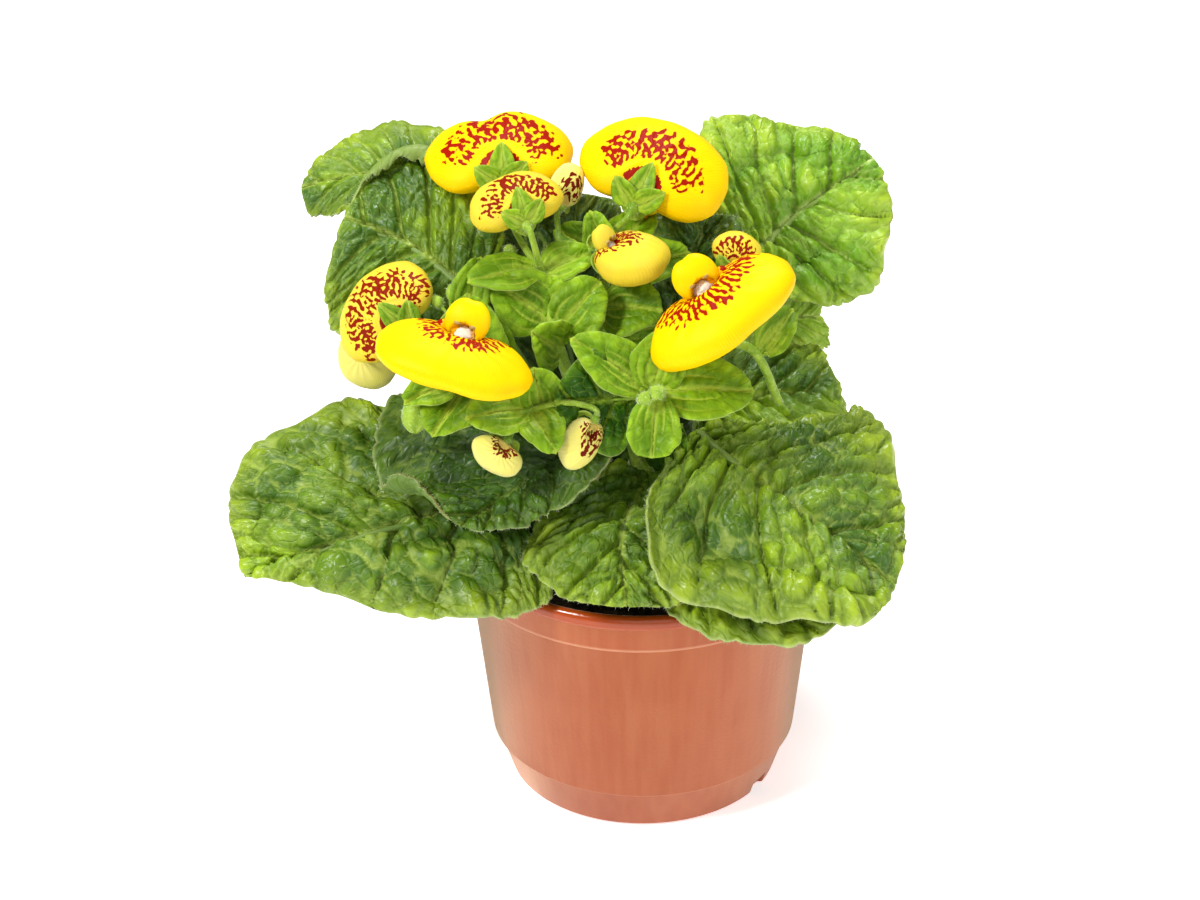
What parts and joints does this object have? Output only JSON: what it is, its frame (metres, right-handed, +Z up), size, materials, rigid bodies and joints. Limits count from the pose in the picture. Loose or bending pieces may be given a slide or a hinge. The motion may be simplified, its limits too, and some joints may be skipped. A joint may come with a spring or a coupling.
{
  "type": "potted pocketbook plant",
  "caption": "Flowering pocketbook plant with broad quilted leaves and spotted yellow pouch blooms, growing in a round tapered terracotta-coloured plastic pot.",
  "frame": {"origin": "centre of the pot's foot, on the ground plane", "axes": "+Z up along the pot's axis, -Y towards the front of the plant, +X to its right"},
  "size_m": [0.2138, 0.1715, 0.2225],
  "materials": {
    "pot": "moulded terracotta-coloured plastic, satin, with a glossier lip",
    "soil": "dark damp peat, crumbly and dull",
    "leaf_green": "living leaf, quilted and downy with a soft gloss",
    "stem_green": "light green young leaf and stalk, downy",
    "yellow_petal": "saturated yellow petal with dark red blotches, satin",
    "cream_petal": "pale yellow petal with fine red spots, satin"
  },
  "bodies": {
    "root": {"pot": "pot", "leaf_front_left": "leaf_green", "leaf_front_left_inner": "leaf_green", "leaf_front": "leaf_green", "leaf_front_right": "leaf_green", "leaf_front_right_lower": "leaf_green", "leaf_right": "leaf_green", "leaf_right_small": "leaf_green", "leaf_back_right": "leaf_green", "leaf_back_left": "leaf_green", "leaf_left_upright": "leaf_green", "leaf_centre_upright": "leaf_green", "leaf_centre_right_upright": "leaf_green", "leaf_back_centre": "leaf_green", "leaf_back_right_lower": "leaf_green", "leaf_back_left_lower": "leaf_green", "bloom_top_left": "yellow_petal", "bloom_top_right": "yellow_petal", "bloom_upper_left": "cream_petal", "bloom_right": "yellow_petal", "bloom_left": "cream_petal", "bloom_front": "yellow_petal", "bloom_centre": "cream_petal", "bloom_left_lower": "cream_petal", "bloom_behind_right": "cream_petal", "bud_top": "cream_petal", "bud_front_left": "cream_petal", "bud_front_centre": "cream_petal", "stem_centre": "stem_green", "stem_right": "stem_green", "stem_left": "stem_green", "stem_front": "stem_green", "soil": "soil"}
  },
  "joints": []
}
